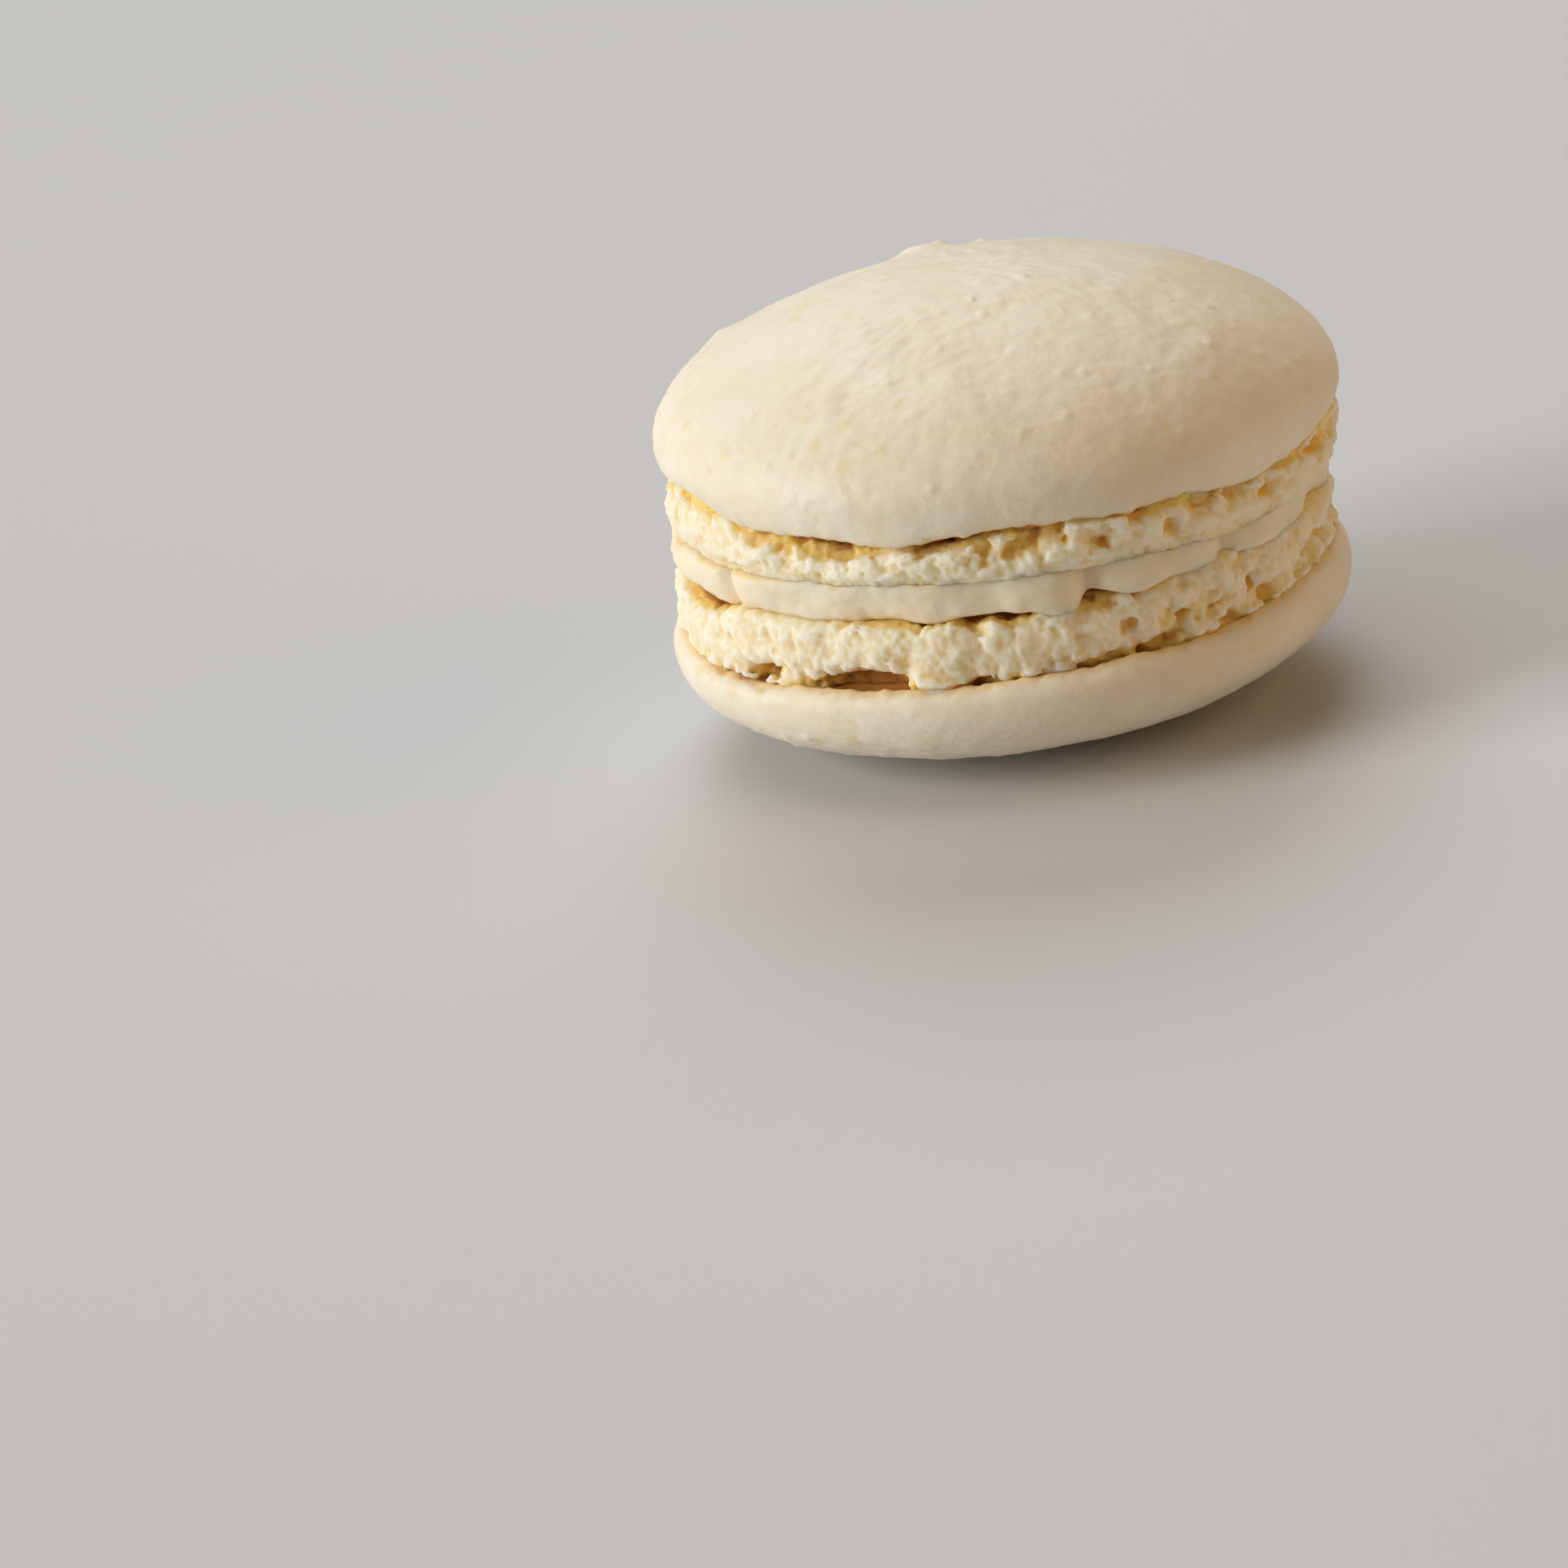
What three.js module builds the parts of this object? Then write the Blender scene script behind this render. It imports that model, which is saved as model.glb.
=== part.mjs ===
// A filled French macaron: two domed almond-meringue shells, each with its ruffled foot,
// sandwiching a disc of vanilla buttercream.
//
// Millimetres, +Z up. The origin is on the table, under the middle of the macaron, and -Y is the
// front. A shell is modelled foot down and crown up on its parting face, the flat underside that
// meets the filling; the lower shell is the same thing turned over.
import * as THREE from "three";
import { ImprovedNoise } from "three/addons/math/ImprovedNoise.js";

const { lerp, smoothstep, degToRad } = THREE.MathUtils;

// ---------------------------------------------------------------- driving dimensions

const SEGMENTS = 144; // steps round the macaron, about 1.1 mm each at the rim
const SHELL_RADIUS = 24.8; // at the widest level of a dome
const RIM_RADIUS = 23.5; // where the dome's lip curls in to the foot
const FOOT_BELLY = 0.4; // how far a foot bulges at half its height
const PARTING_RADIUS = 21.4; // the smooth part of a parting face, inside the ragged foot
const LIP_STEP = 0.15; // height of the crease between the foot and the lip
const GAP = 0.3; // clearance between the filling and each shell

// Heights above a shell's parting face. footRadius: at the foot's edges. shoulder: how far the
// foot rounds over to the parting face. squareness: the exponents of the dome's section, where 2
// is an ellipse. flatRadius: the flat on the crown. rim: where the foot stands higher or lower
// than its mean height, by `rise`, over `wide` degrees to each side of `angle`.
const UPPER_SHELL = {
  foot: 3.35,
  footRadius: 23.9,
  shoulder: 0.15,
  widest: 5.7,
  crown: 15.5,
  squareness: { radial: 1.85, upright: 1.95 },
  flatRadius: 0,
  footSteps: 6,
  domeSteps: 9,
  rim: [
    { angle: 205, wide: 14, rise: 0.8 },
    { angle: 252, wide: 9.5, rise: -1.05 },
    { angle: 277, wide: 13, rise: -0.2 },
    { angle: 318, wide: 16, rise: -0.95 },
  ],
};
const LOWER_SHELL = {
  foot: 4.75,
  footRadius: 23.5,
  shoulder: 0.7,
  widest: 6.2,
  crown: 14.2,
  squareness: { radial: 2.35, upright: 2.15 },
  flatRadius: 5.6,
  footSteps: 8,
  domeSteps: 7,
  rim: [
    { angle: 214, wide: 18, rise: 0.4 },
    { angle: 345, wide: 24, rise: -1.1 },
  ],
};

const CREAM = { radius: 23.6, thickness: 2.1, lip: 0.7, band: 1.6 }; // its rounded edge and rim
const UPPER_LEAN = degToRad(1.2); // the upper shell sits lower on the right
const UPPER_SHIFT = 0.6; // and a little to the right of the lower one

// Levels above the table.
const LOWER_PARTING = LOWER_SHELL.crown;
const CREAM_BASE = LOWER_PARTING + GAP;
const UPPER_PARTING = CREAM_BASE + CREAM.thickness + GAP;

// Relief of the crumb, the skin and the cream: the size of its lumps and how far they stand out.
const RUFFLE = { pitch: 2.9, depth: 2.0 }; // the foot's puffed lumps
const CRAG = { pitch: 1.9, depth: 0.7 }; // smaller crags on them
const SAG = { pitch: 2.6, depth: 0.3 }; // how unevenly the lumps hang
const RAG = { pitch: 4.6, depth: 0.4 }; // the lip's uneven lower edge
const SWELL = { pitch: 11, depth: 0.22 }; // the dome's slow unevenness
const DIMPLE = { pitch: 3.4, depth: 0.1 }; // almond grains under the skin
const WAVE = { pitch: 7, depth: 0.45 }; // the piped filling's uneven edge
const MEAN_BILLOW = 0.24; // average of the billowed noise, taken off so that lumps keep the radius

// Caverns torn in a foot as it rose. angle: degrees from +X, anticlockwise from above;
// level: height above the parting face; wide, high, deep: full size of the hole.
const UPPER_CAVERNS = [
  { angle: 224, level: 3.6, wide: 2.8, high: 0.8, deep: 1.3 },
  { angle: 234, level: 3.0, wide: 5.6, high: 1.1, deep: 2.0 },
  { angle: 242, level: 2.6, wide: 2.4, high: 1.4, deep: 2.1 },
  { angle: 259, level: 3.1, wide: 1.6, high: 0.9, deep: 1.5 },
  { angle: 271, level: 3.3, wide: 4.0, high: 0.6, deep: 1.2 },
  { angle: 280, level: 2.6, wide: 1.3, high: 1.2, deep: 1.1 },
  { angle: 287, level: 2.5, wide: 1.5, high: 1.3, deep: 1.2 },
  { angle: 293, level: 3.3, wide: 4.6, high: 0.8, deep: 1.5 },
  { angle: 301, level: 2.4, wide: 1.5, high: 1.3, deep: 1.2 },
  { angle: 309, level: 2.7, wide: 2.4, high: 1.0, deep: 1.5 },
  { angle: 321, level: 2.2, wide: 2.0, high: 1.2, deep: 1.3 },
  { angle: 332, level: 2.5, wide: 2.4, high: 0.9, deep: 1.4 },
  { angle: 348, level: 2.0, wide: 4.2, high: 1.3, deep: 1.8 },
];
const LOWER_CAVERNS = [
  { angle: 197, level: 0.4, wide: 7.5, high: 1.3, deep: 2.2 },
  { angle: 207, level: 4.9, wide: 3.6, high: 0.6, deep: 1.3 },
  { angle: 221, level: 3.8, wide: 2.6, high: 0.8, deep: 1.2 },
  { angle: 235, level: 4.4, wide: 3.6, high: 1.1, deep: 2.1 },
  { angle: 246, level: 4.2, wide: 5.0, high: 1.8, deep: 2.2 },
  { angle: 268, level: 0.3, wide: 4.6, high: 0.9, deep: 2.2 },
  { angle: 287, level: 0.2, wide: 2.0, high: 0.6, deep: 1.3 },
  { angle: 293, level: 4.2, wide: 4.0, high: 0.8, deep: 2.0 },
  { angle: 302, level: 0.2, wide: 2.2, high: 0.6, deep: 1.4 },
  { angle: 311, level: 3.9, wide: 1.8, high: 0.7, deep: 1.5 },
  { angle: 326, level: 2.6, wide: 1.8, high: 1.6, deep: 1.2 },
];
const CAVERN_STEEPNESS = 1.3; // 1 is a soft hollow, more gives steeper walls

// The rest of a foot has caverns of the same kinds, under the lip or at half height.
const OTHER_CAVERNS = {
  count: 12,
  angle: [358, 545],
  level: [0.5, 0.92], // of the foot's height
  wide: [1.6, 4.6],
  high: [0.7, 1.4],
  deep: [1.0, 2.0],
};

// Where the piping nozzle was drawn off the upper shell, and one lump near its left side.
const TIPS = [
  { x: -3.4, y: 13.5, spread: 1.9, height: 0.85 },
  { x: 0.8, y: 14.6, spread: 1.2, height: 0.3 },
  { x: -19.5, y: 10.0, spread: 1.4, height: 0.4 },
];

// The piped ring of cream: lobes and folds at its edge, where its lower edge draws back from the
// side, and where a flap of it hangs clear of the lower shell.
const CREAM_FOLDS = [
  { angle: 198, wide: 9, rise: 0.7 },
  { angle: 214, wide: 2.2, rise: -0.8 },
  { angle: 232, wide: 12, rise: 0.15 },
  { angle: 264, wide: 5, rise: -0.35 },
  { angle: 284, wide: 2.2, rise: -0.6 },
  { angle: 293, wide: 6, rise: 0.35 },
  { angle: 308, wide: 2.0, rise: -0.4 },
  { angle: 322, wide: 8, rise: 0.3 },
];
const CREAM_TUCK = [
  { angle: 222, wide: 14, rise: 1.7 },
  { angle: 246, wide: 13, rise: 1.8 },
  { angle: 340, wide: 12, rise: 1.2 },
];
const CREAM_FLAP = [{ angle: 188, wide: 12, rise: 1.2 }];

// ---------------------------------------------------------------- helpers

const noise = new ImprovedNoise();

// Smooth noise from -1 to 1, with one lump about every `pitch` millimetres.
function lumpiness(point, pitch, seed) {
  return noise.noise(point.x / pitch + seed, point.y / pitch - seed, point.z / pitch);
}

// The same noise folded over, so that round lumps stand out between sharp creases.
function billow(point, pitch, seed) {
  return Math.abs(lumpiness(point, pitch, seed)) - MEAN_BILLOW;
}

// The turn from one direction to another in degrees, -180 to 180.
function turnFrom(angle, other) {
  return THREE.MathUtils.euclideanModulo(angle - other + 180, 360) - 180;
}

// How far a list of waves lifts or pushes out an edge at an angle, all in degrees.
function rise(waves, angle) {
  return waves.reduce((sum, w) => sum + w.rise * Math.exp(-((turnFrom(angle, w.angle) / w.wide) ** 2)), 0);
}

// A repeatable stream of numbers from 0 to 1 (the minimal standard generator).
function randomStream(seed) {
  const modulus = 2147483647;
  const multiplier = 16807;
  let state = seed;
  return () => {
    state = (state * multiplier) % modulus;
    return state / modulus;
  };
}

function otherCaverns(footHeight, seed) {
  const random = randomStream(seed);
  const between = ([low, high]) => lerp(low, high, random());
  const [first, last] = OTHER_CAVERNS.angle;
  const step = (last - first) / OTHER_CAVERNS.count;
  return Array.from({ length: OTHER_CAVERNS.count }, (_, i) => ({
    angle: first + step * (i + random()),
    level: footHeight * between(OTHER_CAVERNS.level),
    wide: between(OTHER_CAVERNS.wide),
    high: between(OTHER_CAVERNS.high),
    deep: between(OTHER_CAVERNS.deep),
  }));
}

// How far the caverns eat into the foot at an angle and a height above the parting face. Each is
// half as deep at its outline as in its middle.
function cavernDepth(caverns, angle, level) {
  let deepest = 0;
  for (const cavern of caverns) {
    const across = (degToRad(turnFrom(angle, cavern.angle)) * RIM_RADIUS) / (cavern.wide / 2);
    const up = (level - cavern.level) / (cavern.high / 2);
    const away = Math.pow(across * across + up * up, CAVERN_STEEPNESS);
    deepest = Math.max(deepest, cavern.deep * Math.pow(0.5, away));
  }
  return deepest;
}

// ---------------------------------------------------------------- shells

// The section of a shell from the axis at its parting face out, up the foot, round the lip and
// over the dome to the axis again. Each point keeps the zone that it belongs to.
function shellSection(shape) {
  const { foot, footRadius, shoulder, widest, crown, squareness, flatRadius, footSteps, domeSteps } = shape;
  const section = [];
  const add = (r, z, zone) => section.push({ point: new THREE.Vector2(r, z), zone });

  add(0, 0, "parting");
  add(PARTING_RADIUS, 0, "parting");
  for (let i = 0; i <= footSteps; i++) {
    const t = i / footSteps;
    const roundedOff = shoulder * Math.max(0, 1 - (foot * t) / shoulder) ** 2;
    add(footRadius - roundedOff + FOOT_BELLY * Math.sin(Math.PI * t), foot * t, "foot");
  }
  const lipSteps = 4;
  for (let i = 1; i < lipSteps; i++) {
    const t = ((i / lipSteps) * Math.PI) / 2;
    const r = lerp(RIM_RADIUS, SHELL_RADIUS, Math.sin(t));
    add(r, lerp(foot + LIP_STEP, widest, 1 - Math.cos(t)), "dome");
  }
  for (let i = 0; i < domeSteps; i++) {
    const t = ((i / domeSteps) * Math.PI) / 2;
    const r = SHELL_RADIUS * Math.pow(Math.cos(t), 2 / squareness.radial);
    const z = widest + (crown - widest) * Math.pow(Math.sin(t), 2 / squareness.upright);
    if (r > flatRadius) add(r, z, "dome");
  }
  if (flatRadius > 0) add(flatRadius, crown, "flat");
  add(0, crown, "flat");
  return section;
}

// How far the crumb of a foot stands out and up at a point.
function footRelief(p, angle, shape, caverns, seed) {
  const lumps = RUFFLE.depth * billow(p, RUFFLE.pitch, seed);
  const crags = CRAG.depth * billow(p, CRAG.pitch, seed + 7);
  const height = p.z / shape.foot;
  return {
    out: lumps + crags - cavernDepth(caverns, angle, p.z),
    up: SAG.depth * Math.sin(Math.PI * height) * lumpiness(p, SAG.pitch, seed + 13),
  };
}

// How far the skin of a dome stands out and up: outwards on its side, upwards near its crown.
function domeRelief(p, shape, seed) {
  const swell = SWELL.depth * lumpiness(p, SWELL.pitch, seed + 3);
  const bump = swell + DIMPLE.depth * lumpiness(p, DIMPLE.pitch, seed + 5);
  const lying = smoothstep(p.z, shape.widest, shape.crown);
  const atRim = 1 - smoothstep(p.z, shape.foot, shape.widest);
  const rag = RAG.depth * lumpiness(p, RAG.pitch, seed + 9);
  return { out: bump * (1 - lying), up: bump * lying + rag * atRim };
}

// One shell, foot down, its parting face at z = 0. `caverns` and `rim` are in its own frame.
function shellGeometry(shape, { caverns, rim, tips, seed }) {
  const section = shellSection(shape);
  const points = section.map((s) => s.point);
  const geometry = new THREE.LatheGeometry(points, SEGMENTS);
  geometry.rotateX(Math.PI / 2); // the lathe's axis is Y

  const position = geometry.attributes.position;
  const p = new THREE.Vector3();
  for (let i = 0; i < position.count; i++) {
    const { zone } = section[i % section.length];
    if (zone === "parting") continue;
    p.fromBufferAttribute(position, i);
    const angle = THREE.MathUtils.radToDeg(Math.atan2(p.y, p.x));
    const radius = Math.hypot(p.x, p.y);

    let relief = { out: 0, up: 0 };
    if (zone === "foot") relief = footRelief(p, angle, shape, caverns, seed);
    if (zone === "dome") relief = domeRelief(p, shape, seed);

    const towardsRim = p.z < shape.foot ? p.z / shape.foot : 1 - smoothstep(p.z, shape.foot, shape.widest);
    let z = p.z + relief.up + towardsRim * rise(rim, angle);
    for (const tip of tips) {
      const away = Math.hypot(p.x - tip.x, p.y - tip.y) / tip.spread;
      if (p.z > shape.widest) z += tip.height * Math.exp(-away * away);
    }
    const stretch = radius > 0 ? 1 + relief.out / radius : 1;
    position.setXYZ(i, p.x * stretch, p.y * stretch, z);
  }
  geometry.computeVertexNormals();
  return geometry;
}

// ---------------------------------------------------------------- filling

// The buttercream disc: a rounded edge with its folds, and a top that leans with the upper shell.
function creamGeometry() {
  const half = CREAM.thickness / 2;
  const inner = CREAM.radius - CREAM.band;
  const section = [new THREE.Vector2(0, 0), new THREE.Vector2(inner, 0)];
  const edgeSteps = 4;
  for (let i = 0; i <= edgeSteps; i++) {
    const t = lerp(-Math.PI / 2, Math.PI / 2, i / edgeSteps);
    const r = CREAM.radius - CREAM.lip * (1 - Math.cos(t));
    section.push(new THREE.Vector2(r, half + half * Math.sin(t)));
  }
  section.push(new THREE.Vector2(inner, CREAM.thickness));
  section.push(new THREE.Vector2(0, CREAM.thickness));

  const geometry = new THREE.LatheGeometry(section, SEGMENTS);
  geometry.rotateX(Math.PI / 2);
  const position = geometry.attributes.position;
  const p = new THREE.Vector3();
  for (let i = 0; i < position.count; i++) {
    p.fromBufferAttribute(position, i);
    const angle = THREE.MathUtils.radToDeg(Math.atan2(p.y, p.x));
    const height = p.z / CREAM.thickness;
    const edge = smoothstep(Math.hypot(p.x, p.y), inner, CREAM.radius);
    const wave = WAVE.depth * lumpiness(p, WAVE.pitch, 21) + rise(CREAM_FOLDS, angle);
    const out = edge * (wave - rise(CREAM_TUCK, angle) * (1 - height));
    const stretch = 1 + out / CREAM.radius;
    const lean = -p.x * Math.tan(UPPER_LEAN) * height;
    const lifted = edge * rise(CREAM_FLAP, angle) * (1 - height);
    position.setXYZ(i, p.x * stretch, p.y * stretch, p.z + lean + lifted);
  }
  geometry.computeVertexNormals();
  return geometry;
}

// ---------------------------------------------------------------- materials and assembly

const shellFinish = new THREE.MeshStandardMaterial({ color: 0xf3e6c8, roughness: 0.72, metalness: 0 });
const creamFinish = new THREE.MeshStandardMaterial({ color: 0xf8f1e0, roughness: 0.5, metalness: 0 });

function named(name, geometry, material) {
  const mesh = new THREE.Mesh(geometry, material);
  mesh.name = name;
  return mesh;
}

// Turning the lower shell over by half a turn about X takes an angle to its negative.
const turnedOver = (feature) => ({ ...feature, angle: -feature.angle });

const lowerShell = named(
  "shell_lower",
  shellGeometry(LOWER_SHELL, {
    caverns: [...LOWER_CAVERNS, ...otherCaverns(LOWER_SHELL.foot, 41)].map(turnedOver),
    rim: LOWER_SHELL.rim.map(turnedOver),
    tips: [],
    seed: 2.7,
  }),
  shellFinish,
);
lowerShell.rotation.x = Math.PI;
lowerShell.position.z = LOWER_PARTING;

const cream = named("filling", creamGeometry(), creamFinish);
cream.position.z = CREAM_BASE;

const upperShell = named(
  "shell_upper",
  shellGeometry(UPPER_SHELL, {
    caverns: [...UPPER_CAVERNS, ...otherCaverns(UPPER_SHELL.foot, 17)],
    rim: UPPER_SHELL.rim,
    tips: TIPS,
    seed: 5.3,
  }),
  shellFinish,
);
upperShell.rotation.y = UPPER_LEAN;
upperShell.position.set(UPPER_SHIFT, 0, UPPER_PARTING);

const macaron = new THREE.Group();
macaron.add(lowerShell, cream, upperShell);

// The relief and the shift take the outline a little off centre, so the pieces move sideways
// together until it is centred over the origin. They already stand on z = 0.
macaron.updateMatrixWorld(true);
const outline = new THREE.Box3().setFromObject(macaron, true);
const middle = outline.getCenter(new THREE.Vector3());
for (const piece of macaron.children) {
  piece.position.x -= middle.x;
  piece.position.y -= middle.y;
}

export default macaron;
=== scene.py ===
# %% [markdown]
# # A French macaron
#
# Two almond-meringue shells hold a disc of buttercream. Each shell is a smooth domed skin over a
# ragged foot, the open crumb that pushed out from under the skin as it baked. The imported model
# already has the three solids at their true size and place. Here each one gets a finer stand-in:
# a skin and a foot for each shell, and the cream between them.

# %% Load the frame
import math

import bmesh
import bpy
from mathutils import Matrix, Vector, noise


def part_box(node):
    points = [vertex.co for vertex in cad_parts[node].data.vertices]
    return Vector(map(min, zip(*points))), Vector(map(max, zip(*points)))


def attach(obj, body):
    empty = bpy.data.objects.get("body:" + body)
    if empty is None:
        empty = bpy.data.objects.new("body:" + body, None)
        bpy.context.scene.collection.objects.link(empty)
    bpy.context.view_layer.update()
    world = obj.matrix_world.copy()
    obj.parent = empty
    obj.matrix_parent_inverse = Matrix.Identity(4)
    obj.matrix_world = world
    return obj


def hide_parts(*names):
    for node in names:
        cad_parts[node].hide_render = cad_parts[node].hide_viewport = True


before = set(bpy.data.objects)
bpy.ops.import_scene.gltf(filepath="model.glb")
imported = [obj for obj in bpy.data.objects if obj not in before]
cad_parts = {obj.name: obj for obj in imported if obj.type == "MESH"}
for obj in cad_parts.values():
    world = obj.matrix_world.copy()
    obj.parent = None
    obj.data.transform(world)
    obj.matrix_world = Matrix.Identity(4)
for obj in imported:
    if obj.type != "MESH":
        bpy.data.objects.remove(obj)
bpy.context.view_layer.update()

print("frame:", sorted(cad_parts))

# %% [markdown]
# ## Where things are
#
# Crumb and skin are easiest to think of in millimetres, so every piece is shaped in millimetres
# in its own shell's frame: foot down, crown up, with z = 0 on the flat parting face that meets the
# cream. One matrix for each shell then takes it to its place in metres. The lower shell stands on
# the only flat spot that touches z = 0, so the middle of that spot gives the macaron's axis.

# %% The axis and the two placings
MM = 0.001
UPPER_LEAN = math.radians(1.2)
UPPER_SHIFT = 0.6
CONTACT_GAP = 0.3
CREAM_THICKNESS = 2.1

flat_spot = [v.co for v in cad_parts["shell_lower"].data.vertices if v.co.z < 1e-6]
axis = sum(flat_spot, Vector()) / len(flat_spot)
lower_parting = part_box("shell_lower")[1].z / MM
upper_parting = lower_parting + 2 * CONTACT_GAP + CREAM_THICKNESS


def placing(shift, height, turn):
    """The matrix from a shell's own millimetres to its place in the frame's metres."""
    moved = Matrix.Translation(Vector((axis.x, axis.y, 0)) + Vector((shift, 0, height)) * MM)
    return moved @ turn @ Matrix.Scale(MM, 4)


PLACE_LOWER = placing(0, lower_parting, Matrix.Rotation(math.pi, 4, "X"))
PLACE_UPPER = placing(UPPER_SHIFT, upper_parting, Matrix.Rotation(UPPER_LEAN, 4, "Y"))
PLACE_CREAM = placing(0, lower_parting, Matrix.Identity(4))
print("axis:", tuple(round(c, 5) for c in axis), "parting faces at", lower_parting, upper_parting)

# %% [markdown]
# ## The camera
#
# The macaron is seen from a little above its own level and the frame is rolled, so that its right
# side stands higher. The point on the axis at the height of the cream lands off the middle of the
# picture. A camera turned by roll, elevation and that offset gives the view with no lens shift.

# %% Camera
PICTURE = 1932
FOCAL = 7650
TARGET_PIXEL = Vector((1231, 622))
TARGET = Vector((axis.x, axis.y, 14.7 * MM))
DISTANCE = 0.45
ELEVATION = math.radians(17.29)
ROLL = math.radians(8.24)

camera_data = bpy.data.cameras.new("camera")
camera_data.sensor_width = 36
camera_data.lens = camera_data.sensor_width * FOCAL / PICTURE
camera_data.clip_start = 0.01
camera = bpy.data.objects.new("camera", camera_data)
bpy.context.scene.collection.objects.link(camera)
bpy.context.scene.camera = camera

offset = (TARGET_PIXEL - Vector((PICTURE / 2, PICTURE / 2))) / FOCAL
to_target = Vector((offset.x, -offset.y, -1)).normalized()
ray_x = Vector((0, 1, 0)).cross(-to_target).normalized()
ray_frame = Matrix((ray_x, (-to_target).cross(ray_x), -to_target)).transposed()
upright = Matrix.Rotation(ELEVATION - math.pi / 2, 3, "X")
turned = (ray_frame @ Matrix.Rotation(ROLL, 3, "Z") @ upright).transposed()
camera.matrix_world = Matrix.Translation(TARGET - turned @ (to_target * DISTANCE)) @ turned.to_4x4()
print("camera at", tuple(round(c, 4) for c in camera.matrix_world.translation))
print("lens in mm:", round(camera_data.lens, 1))

# %% [markdown]
# ## The shape of a shell
#
# A piped disc of batter spreads to a circle, so a shell is a turned shape before it is anything
# else. Its section is a quarter superellipse over the widest level and a small curl under it, the
# lip. A flattened sphere would be quicker, but the superellipse also gives the fuller shoulder of a
# real shell. The rim waves up and down where the foot rose unevenly. `rise` is that wave: a sum of
# soft bumps, each `wide` degrees to either side of its `angle`.

# %% Sizes of the shells, in millimetres
SHELL_RADIUS = 24.8
RIM_RADIUS = 23.5
LIP_STEP = 0.15         # the skin's lowest edge above the top of the foot
LIP_ROOT = 22.7         # where the curl of the lip starts, under the skin
LIP_CURL = 0.45         # how far the root lies above the lowest edge
HIDDEN_STEP = 20.4      # inside the foot the skin steps down to a hidden floor
HIDDEN_RING = 12        # a ring half-way out on that floor
HIDDEN_FLOOR = 0.4
UPPER_SHELL = {
    "foot": 3.35,
    "widest": 5.7,
    "crown": 15.5,
    "radial": 1.85,
    "upright": 1.95,
    "flat": 0.0,
    "rim": [
        (200, 12, 0.75), (224, 14, -0.4), (250, 11, -1.05), (277, 13, -0.2), (288, 7, -0.3),
        (318, 16, -0.95),
    ],
}
LOWER_SHELL = {
    "foot": 4.75,
    "widest": 6.2,
    "crown": lower_parting,
    "radial": 2.35,
    "upright": 2.15,
    "flat": 5.6,
    "rim": [(-214, 18, 0.4), (-345, 24, -1.1)],
}
print("shells across, in mm:", 2 * SHELL_RADIUS)


# %% Soft ramps and waves
def smoothstep(value, low, high):
    """0 below low, 1 above high, and a soft ramp between them."""
    t = min(max((value - low) / (high - low), 0), 1)
    return t * t * (3 - 2 * t)


def turn_from(angle, other):
    """The turn from one direction to another in degrees, -180 to 180."""
    return (angle - other + 180) % 360 - 180


def rise(waves, angle):
    """How far a list of (angle, wide, height) waves lifts an edge at an angle."""
    return sum(h * math.exp(-((turn_from(angle, a) / wide) ** 2)) for a, wide, h in waves)


print("the upper rim at 250 degrees rises by", round(rise(UPPER_SHELL["rim"], 250), 2), "mm")


# %% The section of a shell
def dome_section(shell, lip_steps=16, dome_steps=100):
    """(radius, height) from the axis under the skin, round the lip and over to the crown."""
    widest, crown = shell["widest"], shell["crown"]
    rim_height = shell["foot"] + LIP_STEP
    tucked = rim_height + LIP_CURL
    points = [(radius, HIDDEN_FLOOR) for radius in (0, HIDDEN_RING, HIDDEN_STEP)]
    points += [(HIDDEN_STEP, tucked), (LIP_ROOT, tucked)]
    for i in range(lip_steps):
        t = math.pi / 2 * i / lip_steps
        radius = RIM_RADIUS + (SHELL_RADIUS - RIM_RADIUS) * math.sin(t)
        points.append((radius, widest - (widest - rim_height) * math.cos(t)))
    for i in range(dome_steps):
        t = math.pi / 2 * i / dome_steps
        radius = SHELL_RADIUS * math.cos(t) ** (2 / shell["radial"])
        if radius > shell["flat"]:
            height = widest + (crown - widest) * math.sin(t) ** (2 / shell["upright"])
            points.append((radius, height))
    if shell["flat"]:
        points.append((shell["flat"], crown))
    return points + [(0, crown)]


print("section points:", len(dome_section(UPPER_SHELL)), len(dome_section(LOWER_SHELL)))

# %% [markdown]
# ## Turning a section
#
# `bmesh.ops.spin` sweeps a chain of edges round the axis and, with `use_merge`, closes the last
# step on the first. The points on the axis come out as a stack of copies, so doubles are merged,
# and only then are the normals made to point outwards.

# %% Spin a section into a closed body
def spun(points, steps):
    """A bmesh of the section (radius, height) turned once round the z axis."""
    bm = bmesh.new()
    chain = [bm.verts.new((r, 0, z)) for r, z in points]
    edges = [bm.edges.new(pair) for pair in zip(chain, chain[1:])]
    bmesh.ops.spin(
        bm, geom=chain + edges, cent=(0, 0, 0), axis=(0, 0, 1), dvec=(0, 0, 0),
        angle=2 * math.pi, steps=steps, use_merge=True, use_normal_flip=False, use_duplicate=False,
    )
    bmesh.ops.remove_doubles(bm, verts=bm.verts, dist=1e-5)
    bmesh.ops.recalc_face_normals(bm, faces=bm.faces)
    bm.normal_update()
    return bm


def piece_from(bm, name, place):
    """Makes a smooth-shaded object of a bmesh, with its place in its mesh."""
    bmesh.ops.transform(bm, matrix=place, verts=bm.verts)
    bmesh.ops.triangulate(bm, faces=[f for f in bm.faces if len(f.verts) > 4])
    mesh = bpy.data.meshes.new(name)
    bm.to_mesh(mesh)
    bm.free()
    mesh.shade_smooth()
    made = bpy.data.objects.new(name, mesh)
    bpy.context.scene.collection.objects.link(made)
    print(f"{name}: {sum(len(p.vertices) - 2 for p in mesh.polygons)} triangles")
    return made


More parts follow.
